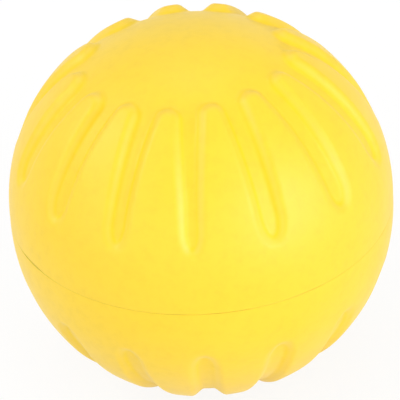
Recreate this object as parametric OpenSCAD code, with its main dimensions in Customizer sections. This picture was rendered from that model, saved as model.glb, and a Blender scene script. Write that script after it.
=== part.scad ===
// Foam play ball, bonded at the equator from two equal fluted half mouldings.
// The origin is the middle of the ball and +Z runs through both smooth caps.
// Each half is a crown sphere with finger grooves that run up into a sunk cap,
// and one groove of each half faces -Y.

/* [Ball] */
// Diameter of the crown sphere, which is the width of the ball beside the seam
ball_d = 89; // [60:0.5:140]
// Height of each half's crown centre above its bond face, so that its lobes swell away from the seam
crown_rise = 1.3; // [0.2:0.1:2]
// Rounded edge of each half along the seam
seam_edge_r = 0.3; // [0.15:0.05:1.5]

/* [Finger grooves] */
// Number of grooves round each half
groove_count = 14; // [8:2:18]
// Width of a groove, from the middle of one wall to the middle of the other
groove_w = 5.2; // [3.6:0.1:7]
// Angle above the bond face at which a groove ends
groove_end_angle = 18; // [12:0.5:30]
// Length over which a groove narrows to its end
taper_l = 5; // [3:0.5:12]
// Angle above the bond face that the arched tips of the lobes reach, where the cap starts
lobe_tip_angle = 62; // [50:1:66]
// How far the floor of the grooves and caps lies inside the crown sphere at the bond face
floor_drop = 0.8; // [0.2:0.1:1.5]
// Width of a groove's sloping wall, between its rim and its corner
wall_w = 1.1; // [0.4:0.1:1.8]
// Width of the rounded rim along the top of a wall
rim_w = 1.3; // [0.4:0.1:1.8]
// Width of the hollow corner along the bottom of a wall
corner_w = 1; // [0.2:0.1:1.2]

/* [Bond] */
// Thickness of the adhesive film between the halves
film_t = 0.15; // [0.1:0.05:0.5]
// How far the film stops short of the edge of the bond faces
film_setback = 0.4; // [0.2:0.1:3]

/* [Hidden] */
$fn = 48;
foam_colour = "gold";
film_colour = "khaki";

// Spheres: the crown is centred crown_rise above the bond face, the floor on the face itself
crown_r = ball_d / 2;
floor_r = crown_r - floor_drop;

// Angle that a length takes up along the crown sphere
function crown_angle(length) = length / crown_r * 180 / PI;

// A groove is a straight bar bent over the crown, so that its walls stay the same way apart
pitch = 360 / groove_count;
half_angle = crown_angle(groove_w / 2);
taper_angle = crown_angle(taper_l);
end_along = groove_end_angle + taper_angle;

// The arched tip of a lobe is a circle that touches the walls on both of its sides
tip_lat = atan((sin(lobe_tip_angle + half_angle) - sin(pitch / 2)) / cos(lobe_tip_angle + half_angle));
tip_r = lobe_tip_angle - tip_lat;
tip_along = atan(tan(tip_lat) / cos(pitch / 2));

// Half a wall, a rim and a corner as angles, kept within the room that a lobe's tip and a groove leave
room_share = 0.6;
wall_half = min(crown_angle(wall_w / 2), room_share * min(tip_r, half_angle));
rim = min(crown_angle(rim_w), room_share * (tip_r - wall_half));
corner = min(crown_angle(corner_w), room_share * (half_angle - wall_half));

// Angles of a direction from the middle plane of the nearest groove, and along that plane
function aside(lat, az) = asin(cos(lat) * sin(az));
function along(lat, az) = atan2(sin(lat), cos(lat) * cos(az));

// Angle between two directions that are given by latitude and azimuth
function spread(lat_1, az_1, lat_2, az_2) =
    acos(min(1, sin(lat_1) * sin(lat_2) + cos(lat_1) * cos(lat_2) * cos(az_1 - az_2)));

// Angle inside the tapered end of a groove, half an ellipse, from its outline
floor_share = 0.5;
function end_distance(across, below) =
    let(ratio = norm([across / half_angle, below / taper_angle]))
    ratio < floor_share ? half_angle - across
    : (1 - ratio) * ratio / norm([across / pow(half_angle, 2), below / pow(taper_angle, 2)]);

// Angle from the middle of the nearest wall, above 0 in a groove or the cap and below 0 on a lobe
// or the belt. The azimuth runs from 0 in the middle of a groove to half a pitch in that of a lobe.
function wall_distance(lat, az) =
    along(lat, az) < end_along ? end_distance(aside(lat, az), end_along - along(lat, az))
    : along(lat, az) > tip_along ? spread(lat, pitch / 2 - az, tip_lat, 0) - tip_r
    : half_angle - aside(lat, az);

// Share of the full depth at a distance from a wall: a rounded rim, a straight slope, a hollow corner
function depth_share(distance) =
    let(
        outer = distance + wall_half,
        inner = distance - wall_half,
        slope_w = 2 * wall_half + (rim + corner) / 2
    )
    outer <= -rim ? 0
    : outer < 0 ? pow(outer + rim, 2) / (2 * rim * slope_w)
    : inner < 0 ? (outer + rim / 2) / slope_w
    : inner < corner ? 1 - pow(corner - inner, 2) / (2 * corner * slope_w)
    : 1;

// Distance from the crown centre to the floor sphere along a latitude
function floor_reach(lat) =
    sqrt(pow(floor_r, 2) - pow(crown_rise * cos(lat), 2)) - crown_rise * sin(lat);

// Distance from the crown centre to the moulded skin
function skin_reach(lat, az) =
    let(share = depth_share(wall_distance(lat, az)))
    (1 - share) * crown_r + share * floor_reach(lat);

// Offsets of the edges of the rim, the wall and the corner from the middle of the wall
wall_offsets = [-wall_half - rim, -wall_half - rim / 2, -wall_half, wall_half, wall_half + corner];

// Azimuths of one pitch's columns at a latitude: they follow the corner, the wall and the rim
function pitch_columns(lat) =
    let(
        narrowing = cos(min(lat, tip_lat)),
        last = len(wall_offsets) - 1,
        sides = [for (i = [last : -1 : 0]) asin(sin(half_angle - wall_offsets[i]) / narrowing)]
    )
    concat(0, sides, pitch / 2, [for (i = [last : -1 : 0]) pitch - sides[i]]);

// Rows of the skin, each as the latitude of its middle with the half width and height of its bow.
// A row bows down round the end of each groove, or up round the tip of each lobe, or runs level.
bow_share = 0.8;
belt_share = 0.6;
lobe_shares = [0, 0.25, 0.5, 0.75, 1];
cap_shares = [0.3, 0.65];
taper_share = 0.3;
belt_top = groove_end_angle - wall_half - rim;
cap_edge = lobe_tip_angle + wall_half + corner;
rows = concat(
    [level_row(belt_top * belt_share)],
    [for (offset = wall_offsets) [end_along, half_angle - offset, offset - taper_angle]],
    [level_row(end_along - taper_angle * taper_share)],
    [for (share = lobe_shares) level_row(end_along + (tip_lat - end_along) * share)],
    [for (offset = wall_offsets) [tip_lat, tip_r + offset, tip_r + offset]],
    [for (share = cap_shares) level_row(cap_edge + (90 - cap_edge) * share)]
);

function level_row(lat) = [lat, pitch, 0];

// Latitude of a row at an azimuth from the middle of a groove
function row_latitude(row, az) =
    let(
        middle_az = row[2] < 0 ? az : pitch / 2 - az,
        across_share = min(middle_az * cos(row[0]) / row[1], bow_share)
    )
    row[0] + row[2] * sqrt(1 - pow(across_share, 2));

// The rounded edge along the seam, as radius and height, from the bond face to the crown
edge_turns = [0, 35, 90];
edge_centre = [sqrt(pow(crown_r - seam_edge_r, 2) - pow(crown_rise - seam_edge_r, 2)), seam_edge_r];
edge_profile = [for (turn = edge_turns) edge_centre + seam_edge_r * [sin(turn), -cos(turn)]];

// Azimuths of all the columns round the ball at a latitude
function all_azimuths(lat) =
    [for (i = [0 : groove_count - 1]) for (az = pitch_columns(lat)) i * pitch + az];

// A ring of points at one radius and height
function edge_ring(radius, height) =
    [for (az = all_azimuths(0)) [radius * cos(az - 90), radius * sin(az - 90), height]];

// A ring of points on the skin, where fold is the azimuth from the middle of the nearest groove
function skin_ring(row) =
    [for (az = all_azimuths(row[0]))
        let(
            fold = min(az % pitch, pitch - az % pitch),
            lat = row_latitude(row, fold),
            reach = skin_reach(lat, fold)
        )
        [reach * cos(lat) * cos(az - 90), reach * cos(lat) * sin(az - 90),
            crown_rise + reach * sin(lat)]];

// Two triangles between two rings. Their shared edge rises from the groove towards the lobe.
function band_faces(low, column, count) =
    let(
        next = (column + 1) % count,
        a = low + column,
        b = low + next,
        turned = column * groove_count % count < count / 2
    )
    turned
        ? [[a, b + count, b], [a, a + count, b + count]]
        : [[a, a + count, b], [b, a + count, b + count]];

// A closed solid with a flat bond face at height 0, rings of the skin above it and a point at the pole
module half_moulding() {
    rings = concat([for (p = edge_profile) edge_ring(p[0], p[1])], [for (row = rows) skin_ring(row)]);
    count = len(rings[0]);
    last = (len(rings) - 1) * count;
    pole = last + count;
    points = [for (ring = rings) each ring, [0, 0, floor_r]];
    bond_face = [for (i = [0 : count - 1]) i];
    bands = [for (low = [0 : count : last - 1]) for (i = [0 : count - 1]) each band_faces(low, i, count)];
    cap = [for (i = [0 : count - 1]) [last + i, pole, last + (i + 1) % count]];
    polyhedron(points, concat([bond_face], bands, cap));
}

module upper_half() {
    color(foam_colour) translate([0, 0, film_t / 2]) half_moulding();
}

module lower_half() {
    color(foam_colour) rotate([0, 180, 0]) translate([0, 0, film_t / 2]) half_moulding();
}

module bond_film() {
    color(film_colour) cylinder(r = edge_centre[0] - film_setback, h = film_t, center = true);
}

upper_half();
lower_half();
bond_film();
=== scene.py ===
import math

import bpy
from mathutils import Matrix, Vector


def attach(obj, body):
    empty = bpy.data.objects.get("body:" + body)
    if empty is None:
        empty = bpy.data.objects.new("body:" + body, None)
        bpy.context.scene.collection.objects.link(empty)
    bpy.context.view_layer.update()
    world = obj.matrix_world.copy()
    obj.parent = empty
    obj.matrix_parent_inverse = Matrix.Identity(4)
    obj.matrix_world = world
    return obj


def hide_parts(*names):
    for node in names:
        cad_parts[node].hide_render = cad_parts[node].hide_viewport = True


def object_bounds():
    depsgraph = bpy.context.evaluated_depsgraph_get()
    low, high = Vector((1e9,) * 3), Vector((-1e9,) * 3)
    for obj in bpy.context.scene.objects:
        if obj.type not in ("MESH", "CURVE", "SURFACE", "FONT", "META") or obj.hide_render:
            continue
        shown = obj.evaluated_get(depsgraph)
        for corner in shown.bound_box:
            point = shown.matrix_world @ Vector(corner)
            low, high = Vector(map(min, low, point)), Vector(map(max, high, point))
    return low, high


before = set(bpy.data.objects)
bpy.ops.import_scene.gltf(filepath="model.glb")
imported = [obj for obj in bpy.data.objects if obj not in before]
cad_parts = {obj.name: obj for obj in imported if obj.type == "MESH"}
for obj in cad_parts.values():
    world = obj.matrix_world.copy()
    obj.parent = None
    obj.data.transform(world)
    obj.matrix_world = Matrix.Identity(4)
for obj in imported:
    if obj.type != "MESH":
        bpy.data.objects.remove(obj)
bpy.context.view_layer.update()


# The two foam halves are solid mouldings of closed-cell foam with a matt skin, both from one mould:
# radial finger grooves run up between rounded lobes into a sunk cap. The lower half is the upper
# one turned over, so that grooves face grooves across the bond.

# Sizes of the mould, in metres and radians
BALL_RADIUS = 0.0445
CROWN_RISE = 0.0013
SEAM_EDGE = 0.0003
FLOOR_DROP = 0.0008
GROOVE_COUNT = 14
GROOVE_WIDTH = 0.0052
GROOVE_END = math.radians(18)
TAPER_LENGTH = 0.005
LOBE_TIP = math.radians(62)
WALL_WIDTH = 0.0011
RIM_WIDTH = 0.0013
CORNER_WIDTH = 0.001
FILM_HALF = 0.000075

# Fineness of the skin's mesh, and the distance at which its open edges are welded
COLUMNS_PER_PITCH = 42
SKIN_ROWS = 152
EDGE_ROWS = 6
WELD_DISTANCE = 0.000002

# How much single grooves and lobes differ from their halves' sizes, as shares
WIDTH_PLAY = 0.04
TAPER_PLAY = 0.06
END_PLAY = 0.012
TIP_PLAY = 0.008


class Field:
    """A value inside a node tree that takes plain arithmetic."""

    def __init__(self, tree, socket):
        self.tree = tree
        self.socket = socket

    def node(self, operation, *values):
        node = self.tree.nodes.new("ShaderNodeMath")
        node.operation = operation
        for socket, value in zip(node.inputs, values):
            feed(self.tree, socket, value)
        return Field(self.tree, node.outputs[0])

    def __add__(self, other):
        return self.node("ADD", self, other)

    __radd__ = __add__

    def __sub__(self, other):
        return self.node("SUBTRACT", self, other)

    def __rsub__(self, other):
        return self.node("SUBTRACT", other, self)

    def __mul__(self, other):
        return self.node("MULTIPLY", self, other)

    __rmul__ = __mul__

    def __truediv__(self, other):
        return self.node("DIVIDE", self, other)

    def __rtruediv__(self, other):
        return self.node("DIVIDE", other, self)

    def __lt__(self, other):
        return self.node("LESS_THAN", self, other)

    def __gt__(self, other):
        return self.node("GREATER_THAN", self, other)


def feed(tree, socket, value):
    """Give a socket a value, by a link where the value is itself a field."""
    if isinstance(value, Field):
        tree.links.new(value.socket, socket)
    else:
        socket.default_value = value


def sin(angle):
    return angle.node("SINE", angle)


def cos(angle):
    return angle.node("COSINE", angle)


def root(value):
    return value.node("SQRT", value)


def power(value, exponent):
    return value.node("POWER", value, exponent)


def least(first, second):
    return first.node("MINIMUM", first, second)


def most(first, second):
    return first.node("MAXIMUM", first, second)


def square(value):
    return value * value


def within_one(value):
    """The value, kept between 0 and 1."""
    return least(most(value, 0.0), 1.0)


def choose(test, yes, no):
    """The value yes where the test holds, and otherwise no."""
    switch = test.tree.nodes.new("GeometryNodeSwitch")
    switch.input_type = "FLOAT"
    test.tree.links.new(test.socket, switch.inputs["Switch"])
    feed(test.tree, switch.inputs["True"], yes)
    feed(test.tree, switch.inputs["False"], no)
    return Field(test.tree, switch.outputs[0])


def end_distance(aside, below, half, taper):
    """Angle inside the tapered end of a groove, half an ellipse, from its outline."""
    core_share = 0.5
    flattest = 0.001
    ratio = root(square(aside / half) + square(below / taper))
    slope = root(square(aside / square(half)) + square(below / square(taper)))
    from_outline = (1 - ratio) * ratio / most(slope, flattest)
    return choose(ratio < core_share, half - aside, from_outline)


def depth_share(distance, wall_half, rim, corner):
    """Share of the full depth across a wall: a rounded rim, a straight slope, a hollow corner."""
    outer = distance + wall_half
    inner = distance - wall_half
    slope_width = 2 * wall_half + (rim + corner) / 2
    on_rim = square(most(outer + rim, 0.0)) / (2 * rim * slope_width)
    on_slope = (outer + rim / 2) / slope_width
    in_corner = 1 - square(most(corner - inner, 0.0)) / (2 * corner * slope_width)
    return choose(outer < 0.0, on_rim, choose(inner < 0.0, on_slope, in_corner))


def vector(tree, x=0.0, y=0.0, z=0.0):
    combine = tree.nodes.new("ShaderNodeCombineXYZ")
    for axis, value in zip("XYZ", (x, y, z)):
        feed(tree, combine.inputs[axis], value)
    return combine.outputs[0]


def slow_noise(seed, detail, *place):
    """Noise whose lumps are about one unit across, at a place given by its coordinates."""
    noise = seed.tree.nodes.new("ShaderNodeTexNoise")
    noise.noise_dimensions = "4D"
    noise.inputs["Scale"].default_value = 1.0
    noise.inputs["Detail"].default_value = detail
    seed.tree.links.new(vector(seed.tree, *place), noise.inputs["Vector"])
    feed(seed.tree, noise.inputs["W"], seed)
    return Field(seed.tree, noise.outputs[0])


def named_sizes(tree):
    """The tree's named inputs, each as a field."""
    sizes = {
        "Ball radius": BALL_RADIUS,
        "Crown rise": CROWN_RISE,
        "Seam edge": SEAM_EDGE,
        "Floor drop": FLOOR_DROP,
        "Groove width": GROOVE_WIDTH,
        "Groove end": GROOVE_END,
        "Taper length": TAPER_LENGTH,
        "Lobe tip": LOBE_TIP,
        "Wall width": WALL_WIDTH,
        "Rim width": RIM_WIDTH,
        "Corner width": CORNER_WIDTH,
        "Bond face height": FILM_HALF,
        "Lip squeeze": 0.000065,
        "Lip seed": 2619.0,
        "Gape side": math.radians(-60),
        "Turn over": 0.0,
        "Uneven shrink": 0.0,
        "Side draw": 0.0,
        "Trimming turn": 0.0,
        "Cap drift": 0.0,
        "Left spread": 0.0,
        "Left side": 0.0,
        "Right spread": 0.0,
        "Right side": 0.0,
        "End pinch": 0.0,
        "Pinch side": 0.0,
        "Skin wander": 0.00007,
    }
    counts = {"Groove count": GROOVE_COUNT, "Seed": 1}
    tree.interface.new_socket("Geometry", in_out="OUTPUT", socket_type="NodeSocketGeometry")
    for values, kind in ((sizes, "NodeSocketFloat"), (counts, "NodeSocketInt")):
        for name, value in values.items():
            socket = tree.interface.new_socket(name, in_out="INPUT", socket_type=kind)
            socket.default_value = value
    tree.interface.new_socket("Foam", in_out="INPUT", socket_type="NodeSocketMaterial")
    given = tree.nodes.new("NodeGroupInput")
    return {socket.name: Field(tree, socket) for socket in given.outputs if socket.name}


def varied(size, value, play, item, stream):
    """The value, larger or smaller by up to a share, the same all over one groove or lobe."""
    pick = value.tree.nodes.new("FunctionNodeRandomValue")
    pick.data_type = "FLOAT"
    pick.inputs[2].default_value = 1 - play
    pick.inputs[3].default_value = 1 + play
    feed(value.tree, pick.inputs["ID"], item)
    feed(value.tree, pick.inputs["Seed"], size["Seed"] + stream)
    return value * Field(value.tree, pick.outputs[1])


def pitch_place(size, azimuth):
    """The azimuth from the middle of the nearest groove, and the groove's and the lobe's numbers.

    The grooves stand a little closer together on the side to which the foam drew as it cooled.
    """
    pitch = math.tau / size["Groove count"]
    swing = sin(azimuth)
    drawn = size["Uneven shrink"] * square(swing) - size["Side draw"] * swing
    moulded = azimuth - drawn - size["Trimming turn"]
    nearest = moulded.node("ROUND", moulded / pitch)
    fold = moulded.node("ABSOLUTE", moulded - nearest * pitch)
    passed = moulded.node("FLOOR", moulded / pitch)
    groove_number = moulded.node("FLOORED_MODULO", nearest, size["Groove count"])
    lobe_number = moulded.node("FLOORED_MODULO", passed, size["Groove count"])
    return fold, groove_number, lobe_number


def lobe_tip(size, lat, fold, lobe_number):
    """Angle outside a lobe's arched tip, and how far along the grooves beside it the tip starts.

    The tip is a circle that touches the walls on both of its sides. The cap sits a little to one
    side, and spreads further down between the lobes at the far left and right.
    """
    half_pitch = math.pi / size["Groove count"]
    nominal = size["Groove width"] / 2 / size["Ball radius"]
    lobe_azimuth = (lobe_number + 0.5) * 2 * half_pitch
    cap_shift = size["Cap drift"] * sin(lobe_azimuth)
    for spread, side in (("Left spread", "Left side"), ("Right spread", "Right side")):
        nearness = most(cos(lobe_azimuth - size[side]), 0.0)
        cap_shift = cap_shift - size[spread] * square(nearness)
    reach_up = varied(size, size["Lobe tip"], TIP_PLAY, lobe_number, stream=4) + cap_shift
    rising = (sin(reach_up + nominal) - sin(half_pitch)) / cos(reach_up + nominal)
    tip_lat = rising.node("ARCTANGENT", rising)
    tip_along = rising.node("ARCTANGENT", rising / cos(half_pitch))
    tip_cosine = sin(lat) * sin(tip_lat) + cos(lat) * cos(tip_lat) * cos(half_pitch - fold)
    from_centre = lat.node("ARCCOSINE", least(tip_cosine, 1.0))
    return from_centre - (reach_up - tip_lat), tip_along


def groove_depth(size, azimuth, lat):
    """Share of the full depth of the grooves and the cap that the skin has at a place.

    A groove is a straight bar bent over the crown, a little wider or narrower towards its end, and
    pinched there on the side where the foam drew in most.
    """
    play_onset = 2.2
    pinch_focus = 16.0
    crown = size["Ball radius"]
    fold, groove_number, lobe_number = pitch_place(size, azimuth)
    aside = lat.node("ARCSINE", cos(lat) * sin(fold))
    along = lat.node("ARCTAN2", sin(lat), cos(lat) * cos(fold))
    in_cap, tip_along = lobe_tip(size, lat, fold, lobe_number)
    taper = varied(size, size["Taper length"] / crown, TAPER_PLAY, groove_number, stream=2)
    end_along = varied(size, size["Groove end"], END_PLAY, groove_number, stream=3) + taper

    groove_azimuth = groove_number * math.tau / size["Groove count"]
    facing = most(cos(groove_azimuth - size["Pinch side"]), 0.0)
    nominal = size["Groove width"] / 2 / crown
    pinched = nominal * (1 - size["End pinch"] * power(facing, pinch_focus))
    lower_half_width = varied(size, pinched, WIDTH_PLAY, groove_number, stream=1)
    lower_share = within_one((tip_along - along) * play_onset)
    half = nominal + (lower_half_width - nominal) * lower_share

    in_end = end_distance(aside, end_along - along, half, taper)
    inside = choose(along < end_along, in_end, choose(along > tip_along, in_cap, half - aside))
    wall_half = size["Wall width"] / 2 / crown
    return depth_share(inside, wall_half, size["Rim width"] / crown, size["Corner width"] / crown)


def skin_reach(size, azimuth, lat, skin_share, depth):
    """Distance from the crown's centre to the skin, which lies between the crown and the floor.

    Foam never fills a mould quite evenly, so the skin wanders a little in and out.
    """
    lumps = 5
    level_noise = 0.6
    fade_in = 12
    crown = size["Ball radius"]
    rise = size["Crown rise"]
    floor_radius = crown - size["Floor drop"]
    floor = root(square(floor_radius) - square(rise * cos(lat))) - rise * sin(lat)
    around = (cos(lat) * sin(azimuth) * lumps, cos(lat) * cos(azimuth) * lumps, sin(lat) * lumps)
    wander = slow_noise(size["Seed"], 2.0, *around) - level_noise
    sway = wander * size["Skin wander"] * within_one(skin_share * fade_in)
    return (1 - depth) * crown + depth * floor + sway


def pressed_lip(size, azimuth, row, skin_share):
    """The edge's shares out and up, how far it is squeezed to the seam, and how far it gapes.

    The pressed lips of the halves nearly meet. They are rounder here and there, and gape at one
    side, on both halves alike.
    """
    stretches = 4
    contrast = 5
    loosest = 0.4
    gape_focus = 130.0
    sharpest = 0.2
    gape_opening = 1.3
    press_fade = 20
    seen_azimuth = azimuth * cos(size["Turn over"])
    along_seam = (sin(seen_azimuth) * stretches, cos(azimuth) * stretches)
    pressing = slow_noise(size["Lip seed"], 1.0, *along_seam)
    looser = least(most(pressing * contrast - contrast / 2, 0.0), loosest)
    gape = power(most(cos(seen_azimuth - size["Gape side"]), 0.0), gape_focus)
    roundness = sharpest + most(looser, gape) * (1 - sharpest)
    turn = row * (math.pi / 2 / EDGE_ROWS)
    out = power(sin(turn), roundness)
    up = 1 - power(cos(turn), roundness)
    pressed = size["Lip squeeze"] * (1 - gape * gape_opening)
    squeeze = pressed * least(row, 1.0) * (1 - within_one(skin_share * press_fade))
    return out, up, squeeze, gape


def edge_circle(size):
    """Radius of the bond face, from which the rounded edge of the seam starts."""
    edge = size["Seam edge"]
    return root(square(size["Ball radius"] - edge) - square(size["Crown rise"] - edge))


def moulded_skin(tree, size):
    """The skin of one half: a flat sheet with its columns as azimuth and its rows as latitude,
    bent to its shape. It keeps the depth of its grooves and a painted shade along its seam for the
    colour.
    """
    nodes = tree.nodes
    link = tree.links.new
    sheet = nodes.new("GeometryNodeMeshGrid")
    sheet.inputs["Size X"].default_value = 1.0
    sheet.inputs["Size Y"].default_value = 1.0
    feed(tree, sheet.inputs["Vertices X"], size["Groove count"] * COLUMNS_PER_PITCH + 1)
    feed(tree, sheet.inputs["Vertices Y"], EDGE_ROWS + SKIN_ROWS)
    place = nodes.new("GeometryNodeInputPosition")
    split = nodes.new("ShaderNodeSeparateXYZ")
    link(place.outputs[0], split.inputs[0])
    azimuth = (Field(tree, split.outputs["X"]) + 0.5) * math.tau
    row = (Field(tree, split.outputs["Y"]) + 0.5) * (EDGE_ROWS + SKIN_ROWS - 1)

    # The seam edge turns a quarter circle, and above it the skin rises to the pole
    rise = size["Crown rise"]
    edge = size["Seam edge"]
    skin_share = (row - EDGE_ROWS) / (SKIN_ROWS - 1)
    lowest = row.node("ARCSINE", (edge - rise) / (size["Ball radius"] - edge))
    lat = lowest + most(skin_share, 0.0) * (math.pi / 2 - lowest)
    depth = groove_depth(size, azimuth, lat)
    reach = skin_reach(size, azimuth, lat, skin_share, depth)
    out, up, squeeze, gape = pressed_lip(size, azimuth, row, skin_share)
    radius = choose(row < EDGE_ROWS, edge_circle(size) + edge * out, reach * cos(lat))
    height = choose(row < EDGE_ROWS, edge * up, rise + reach * sin(lat)) - squeeze

    # Painted shade along the seam: the edge rows darken towards the bond, more where the lips gape
    plain_seam_shade = 0.5
    skin = sheet.outputs["Mesh"]
    for name, value in (
        ("groove depth", choose(row < EDGE_ROWS, 0.0, depth)),
        ("seam shade", most(1 - row / EDGE_ROWS, 0.0) * (plain_seam_shade + gape)),
    ):
        keep = nodes.new("GeometryNodeStoreNamedAttribute")
        keep.data_type = "FLOAT"
        keep.domain = "POINT"
        keep.inputs["Name"].default_value = name
        link(skin, keep.inputs["Geometry"])
        feed(tree, keep.inputs["Value"], value)
        skin = keep.outputs[0]
    shape = nodes.new("GeometryNodeSetPosition")
    link(skin, shape.inputs["Geometry"])
    across = (radius * sin(azimuth), 0 - radius * cos(azimuth))
    link(vector(tree, *across, height + size["Bond face height"]), shape.inputs["Position"])
    return shape.outputs[0]


def bond_face(tree, size):
    """The flat face that closes a half from below."""
    face = tree.nodes.new("GeometryNodeMeshCircle")
    face.fill_type = "NGON"
    feed(tree, face.inputs["Vertices"], size["Groove count"] * COLUMNS_PER_PITCH)
    feed(tree, face.inputs["Radius"], edge_circle(size))
    seat = tree.nodes.new("GeometryNodeTransform")
    tree.links.new(face.outputs["Mesh"], seat.inputs["Geometry"])
    tree.links.new(vector(tree, x=math.pi), seat.inputs["Rotation"])
    tree.links.new(vector(tree, z=size["Bond face height"]), seat.inputs["Translation"])
    return seat.outputs[0]


def half_moulding_tree():
    """The node tree that makes one fluted half from its named sizes."""
    tree = bpy.data.node_groups.new("fluted half moulding", "GeometryNodeTree")
    tree.is_modifier = True
    size = named_sizes(tree)
    nodes = tree.nodes
    link = tree.links.new
    join = nodes.new("GeometryNodeJoinGeometry")
    link(bond_face(tree, size), join.inputs[0])
    link(moulded_skin(tree, size), join.inputs[0])
    weld = nodes.new("GeometryNodeMergeByDistance")
    weld.inputs["Distance"].default_value = WELD_DISTANCE
    link(join.outputs[0], weld.inputs["Geometry"])
    smooth = nodes.new("GeometryNodeSetShadeSmooth")
    link(weld.outputs[0], smooth.inputs["Geometry"])
    turned = nodes.new("GeometryNodeTransform")
    link(smooth.outputs[0], turned.inputs["Geometry"])
    link(vector(tree, y=size["Turn over"]), turned.inputs["Rotation"])
    realize = nodes.new("GeometryNodeRealizeInstances")
    link(turned.outputs[0], realize.inputs[0])
    dress = nodes.new("GeometryNodeSetMaterial")
    link(realize.outputs[0], dress.inputs["Geometry"])
    feed(tree, dress.inputs["Material"], size["Foam"])
    result = nodes.new("NodeGroupOutput")
    link(dress.outputs[0], result.inputs[0])
    return tree


def grey(level):
    return (level, level, level, 1)


def ramp(tree, value, stops):
    """The colour that a value has between these stops, each a position and its colour."""
    blend = tree.nodes.new("ShaderNodeValToRGB")
    first, last = blend.color_ramp.elements
    first.position, first.color = stops[0]
    last.position, last.color = stops[-1]
    for position, colour in stops[1:-1]:
        blend.color_ramp.elements.new(position).color = colour
    tree.links.new(value, blend.inputs[0])
    return blend.outputs[0]


def bump(tree, height, strength, distance):
    relief = tree.nodes.new("ShaderNodeBump")
    relief.inputs["Strength"].default_value = strength
    relief.inputs["Distance"].default_value = distance
    tree.links.new(height, relief.inputs["Height"])
    return relief


def foam_skin(name, seed):
    """Matt yellow foam skin: fine closed cells, faint mottling, and painted shade: a deeper yellow
    in the corners and a darker line along the seam.
    """
    material = bpy.data.materials.new(name)
    material.use_nodes = True
    tree = material.node_tree
    nodes = tree.nodes
    link = tree.links.new
    surface = nodes["Principled BSDF"]
    surface.inputs["Sheen Weight"].default_value = 0.2
    surface.inputs["Sheen Roughness"].default_value = 0.45
    surface.inputs["Sheen Tint"].default_value = (1.0, 0.86, 0.6, 1.0)
    place = nodes.new("ShaderNodeTexCoord")

    def noise(scale, detail, roughness):
        texture = nodes.new("ShaderNodeTexNoise")
        texture.noise_dimensions = "4D"
        texture.inputs["Scale"].default_value = scale
        texture.inputs["Detail"].default_value = detail
        texture.inputs["Roughness"].default_value = roughness
        texture.inputs["W"].default_value = seed
        link(place.outputs["Object"], texture.inputs["Vector"])
        return texture.outputs[0]

    def kept(name):
        """What the moulding's node tree has kept on the skin under this name."""
        attribute = nodes.new("ShaderNodeAttribute")
        attribute.attribute_type = "GEOMETRY"
        attribute.attribute_name = name
        return attribute.outputs["Fac"]

    def multiply(first, second):
        blend = nodes.new("ShaderNodeMix")
        blend.data_type = "RGBA"
        blend.blend_type = "MULTIPLY"
        blend.inputs[0].default_value = 1.0
        link(first, blend.inputs[6])
        link(second, blend.inputs[7])
        return blend.outputs[2]

    # Colour: slow drifts of pigment, finer mottling, and painted shade at the foot of the walls
    drift = ramp(
        tree,
        noise(scale=42, detail=3, roughness=0.5),
        [(0.35, (0.974, 0.675, 0.013, 1)), (0.65, (0.983, 0.687, 0.018, 1))],
    )
    mottle = ramp(
        tree,
        noise(scale=420, detail=4, roughness=0.6),
        [(0.3, (0.955, 0.95, 0.90, 1)), (0.55, grey(1)), (0.8, grey(1))],
    )
    depth = kept("groove depth")
    # Painted shade: the foot of each wall turns a deeper, more saturated yellow, as light bouncing
    # between the walls makes it, and the crowns a touch paler
    painted_corner_shade = ramp(
        tree,
        depth,
        [
            (0.0, (1, 0.978, 1, 1)),
            (0.4, (1, 0.985, 0.93, 1)),
            (0.85, (1, 1, 0.45, 1)),
            (1.0, (1, 0.98, 0.85, 1)),
        ],
    )

    # Painted shade in the seam takes the warmth out of its line, darkest where the lips gape
    seam_shade = ramp(
        tree,
        kept("seam shade"),
        [(0.0, grey(1)), (0.5, (0.78, 0.85, 0.88, 1)), (1.0, (0.70, 0.73, 0.72, 1))],
    )
    colour = multiply(multiply(multiply(drift, mottle), painted_corner_shade), seam_shade)
    link(colour, surface.inputs["Base Color"])

    # Gloss: the slopes of the walls shine a little, and their hollow corners stay dull
    gloss = ramp(
        tree,
        depth,
        [
            (0.0, grey(0.6)),
            (0.15, grey(0.63)),
            (0.45, grey(0.85)),
            (0.8, grey(0.4)),
            (1.0, grey(0.58)),
        ],
    )
    link(gloss, surface.inputs["Specular IOR Level"])
    dullness = ramp(
        tree,
        noise(scale=95, detail=4, roughness=0.6),
        [(0.3, grey(0.42)), (0.7, grey(0.50))],
    )
    link(dullness, surface.inputs["Roughness"])

    # Relief: the orange peel of the moulded skin over fine cells
    cells = nodes.new("ShaderNodeTexVoronoi")
    cells.feature = "SMOOTH_F1"
    cells.inputs["Scale"].default_value = 1500
    link(place.outputs["Object"], cells.inputs["Vector"])
    swell = noise(scale=650, detail=3, roughness=0.5)
    peel = bump(tree, swell, strength=0.22, distance=0.0002)
    fine = bump(tree, cells.outputs["Distance"], strength=0.12, distance=0.0001)
    link(peel.outputs[0], fine.inputs["Normal"])
    link(fine.outputs[0], surface.inputs["Normal"])
    return material


def foam_half(name, tree, inputs):
    """One half of the ball as a plain mesh, made by the node tree with these inputs."""
    half = bpy.data.objects.new(name, bpy.data.meshes.new(name))
    bpy.context.scene.collection.objects.link(half)
    maker = half.modifiers.new("moulding", "NODES")
    maker.node_group = tree
    identifiers = {
        item.name: item.identifier for item in tree.interface.items_tree if item.in_out == "INPUT"
    }
    for item, value in inputs.items():
        maker[identifiers[item]] = value
    depsgraph = bpy.context.evaluated_depsgraph_get()
    made = bpy.data.meshes.new_from_object(half.evaluated_get(depsgraph))
    half.modifiers.remove(maker)
    half.data = made
    return half


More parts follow.
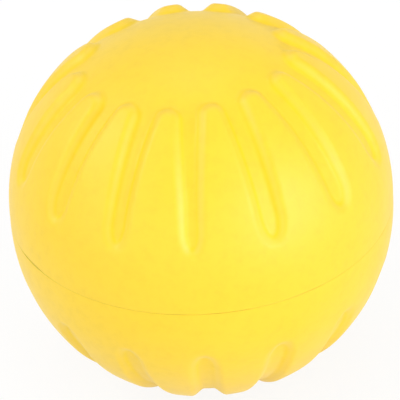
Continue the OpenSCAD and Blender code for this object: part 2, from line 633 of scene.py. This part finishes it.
# Foam shrinks a little unevenly and is trimmed by hand, so the halves are not quite alike
HALVES = {
    "upper": {
        "Turn over": 0.0,
        "Uneven shrink": math.radians(3.7),
        "Side draw": math.radians(1.2),
        "Trimming turn": math.radians(-1.0),
        "Cap drift": math.radians(2.0),
        "Left spread": math.radians(5.2),
        "Left side": math.radians(-105),
        "Right spread": math.radians(4.0),
        "Right side": math.radians(125),
        "End pinch": 0.3,
        "Pinch side": math.radians(-7),
        "Lobe tip": math.radians(61.3),
        "Groove end": math.radians(18.1),
        "Seed": 3,
    },
    "lower": {
        "Turn over": math.pi,
        "Uneven shrink": math.radians(-1.5),
        "Side draw": math.radians(3.3),
        "Trimming turn": math.radians(-0.5),
        "Groove end": math.radians(16.3),
        "Seed": 8,
    },
}

moulding = half_moulding_tree()
for place, inputs in HALVES.items():
    foam = foam_skin(f"{place} foam skin", inputs["Seed"])
    half = foam_half(f"{place}_foam_half", moulding, inputs | {"Foam": foam})
    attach(half, "root")
    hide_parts(f"{place}_half")


# The adhesive film is contact adhesive, brushed on both flat bond faces before they are pressed
# together. It stops just short of the edge and dries to a slightly darker, duller amber.

def dried_adhesive():
    """Brushed adhesive: amber, uneven and a little shiny."""
    material = bpy.data.materials.new("dried adhesive")
    material.use_nodes = True
    tree = material.node_tree
    nodes = tree.nodes
    link = tree.links.new
    surface = nodes["Principled BSDF"]
    place = nodes.new("ShaderNodeTexCoord")
    strokes = nodes.new("ShaderNodeTexNoise")
    strokes.inputs["Scale"].default_value = 300
    strokes.inputs["Detail"].default_value = 4
    link(place.outputs["Object"], strokes.inputs["Vector"])
    amber = ramp(
        tree, strokes.outputs[0], [(0.3, (0.40, 0.22, 0.02, 1)), (0.7, (0.62, 0.38, 0.04, 1))]
    )
    link(amber, surface.inputs["Base Color"])
    dull = nodes.new("ShaderNodeMapRange")
    dull.inputs["To Min"].default_value = 0.35
    dull.inputs["To Max"].default_value = 0.6
    link(strokes.outputs[0], dull.inputs["Value"])
    link(dull.outputs[0], surface.inputs["Roughness"])
    ridges = bump(tree, strokes.outputs[0], strength=0.3, distance=0.0001)
    link(ridges.outputs[0], surface.inputs["Normal"])
    return material


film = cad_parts["bond_film"]
for slot in film.material_slots:
    slot.material = dried_adhesive()


# The studio is a seamless white table, on which the ball stands on its lower cap as in a
# catalogue photograph, with wide soft boxes round it. The strongest stands low at the right front.

FLOOR_SIZE = 4.0
FLOOR_WHITE = 0.85
FADE_START = 0.04
FADE_END = 0.4
ROOM_LIGHT = 0.54


def any_ray(tree, kinds):
    """1 for a ray of any of these kinds, and 0 for every other ray."""
    path = tree.nodes.new("ShaderNodeLightPath")
    found = path.outputs[kinds[0]]
    for kind in kinds[1:]:
        either = tree.nodes.new("ShaderNodeMath")
        either.operation = "MAXIMUM"
        tree.links.new(found, either.inputs[0])
        tree.links.new(path.outputs[kind], either.inputs[1])
        found = either.outputs[0]
    return found


def white_table():
    """A matt white table that fades, for the camera, into the white of the background."""
    material = bpy.data.materials.new("white table")
    material.use_nodes = True
    tree = material.node_tree
    nodes = tree.nodes
    link = tree.links.new
    matt = nodes["Principled BSDF"]
    matt.inputs["Base Color"].default_value = grey(0.8)
    matt.inputs["Roughness"].default_value = 0.9
    matt.inputs["Specular IOR Level"].default_value = 0.0
    glow = nodes.new("ShaderNodeEmission")
    glow.inputs["Color"].default_value = grey(1)
    glow.inputs["Strength"].default_value = 1.03
    place = nodes.new("ShaderNodeTexCoord")
    distance = nodes.new("ShaderNodeVectorMath")
    distance.operation = "LENGTH"
    link(place.outputs["Object"], distance.inputs[0])
    fade = nodes.new("ShaderNodeMapRange")
    fade.inputs["From Min"].default_value = FADE_START
    fade.inputs["From Max"].default_value = FADE_END
    fade.inputs["To Min"].default_value = FLOOR_WHITE
    fade.inputs["To Max"].default_value = 1.0
    link(distance.outputs["Value"], fade.inputs["Value"])
    level = nodes.new("ShaderNodeMath")
    level.operation = "MULTIPLY"
    link(any_ray(tree, ("Is Camera Ray", "Is Glossy Ray")), level.inputs[0])
    link(fade.outputs[0], level.inputs[1])
    both = nodes.new("ShaderNodeMixShader")
    link(level.outputs[0], both.inputs["Fac"])
    link(matt.outputs[0], both.inputs[1])
    link(glow.outputs[0], both.inputs[2])
    link(both.outputs[0], nodes["Material Output"].inputs["Surface"])
    return material


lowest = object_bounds()[0][2]
corner = FLOOR_SIZE / 2
corners = [(-corner, -corner), (corner, -corner), (corner, corner), (-corner, corner)]
table_mesh = bpy.data.meshes.new("table")
table_mesh.from_pydata([(x, y, lowest) for x, y in corners], [], [(0, 1, 2, 3)])
table_mesh.materials.append(white_table())
table = bpy.data.objects.new("table", table_mesh)
bpy.context.scene.collection.objects.link(table)

# The room is full white where it is seen or mirrored, and lights the ball more weakly
world = bpy.data.worlds.new("white room")
bpy.context.scene.world = world
world.use_nodes = True
room = world.node_tree
background = room.nodes["Background"]
background.inputs["Color"].default_value = grey(1)
strength = room.nodes.new("ShaderNodeMapRange")
strength.inputs["To Min"].default_value = ROOM_LIGHT
strength.inputs["To Max"].default_value = 1.0
shown = any_ray(room, ("Is Camera Ray", "Is Transmission Ray", "Is Glossy Ray"))
room.links.new(shown, strength.inputs["Value"])
room.links.new(strength.outputs[0], background.inputs["Strength"])

# Each soft box has its place and its power in watts, and faces the ball
BOX_SIZE = 0.6
SOFT_BOXES = {
    "key": ((0.69, -0.69, 0.21), 3.6),
    "right low": ((0.92, -0.34, 0.21), 1.9),
    "right high": ((0.53, -0.53, 0.67), 0.65),
    "front low": ((-0.09, -0.97, 0.21), 0.75),
    "left fill": ((-0.8, -0.56, 0.21), 1.4),
    "left high": ((-0.53, -0.53, 0.67), 0.4),
    "left top": ((-0.74, 0.0, 0.67), 2.4),
    "back top": ((0.0, 0.34, 0.94), 1.4),
}

for name, (place, power_watts) in SOFT_BOXES.items():
    light = bpy.data.lights.new(name, "AREA")
    light.shape = "SQUARE"
    light.size = BOX_SIZE
    light.energy = power_watts
    box = bpy.data.objects.new(name, light)
    box.location = place
    box.rotation_euler = Vector(place).to_track_quat("Z", "Y").to_euler()
    bpy.context.scene.collection.objects.link(box)


# The camera looks down on the ball from about 35 degrees up, from far enough back that the ball
# nearly fills the frame. It is held slightly turned, so that the ball's axis leans left.

VIEW_DISTANCE = 20 * BALL_RADIUS
VIEW_HEIGHT = math.radians(35.1)
VIEW_SIDE = math.radians(2.74)
VIEW_ROLL = math.radians(3.7)
FRAME_SHARE = 0.96
FRAME_SHIFT = (-0.0033, -0.0009)
SENSOR = 36.0
NEAREST_SEEN = 0.01

camera_data = bpy.data.cameras.new("camera")
camera_data.sensor_width = SENSOR
ball_slope = BALL_RADIUS / math.sqrt(VIEW_DISTANCE**2 - BALL_RADIUS**2)
camera_data.lens = SENSOR / 2 * FRAME_SHARE / ball_slope
camera_data.clip_start = NEAREST_SEEN
camera_data.shift_x, camera_data.shift_y = FRAME_SHIFT
camera = bpy.data.objects.new("camera", camera_data)
bpy.context.scene.collection.objects.link(camera)
towards = Vector((
    math.sin(VIEW_SIDE) * math.cos(VIEW_HEIGHT),
    -math.cos(VIEW_SIDE) * math.cos(VIEW_HEIGHT),
    math.sin(VIEW_HEIGHT),
))
aim = towards.to_track_quat("Z", "Y").to_matrix().to_4x4()
camera.matrix_world = (
    Matrix.Translation(towards * VIEW_DISTANCE) @ aim @ Matrix.Rotation(-VIEW_ROLL, 4, "Z")
)
bpy.context.scene.camera = camera
bpy.context.scene.view_settings.view_transform = "Standard"
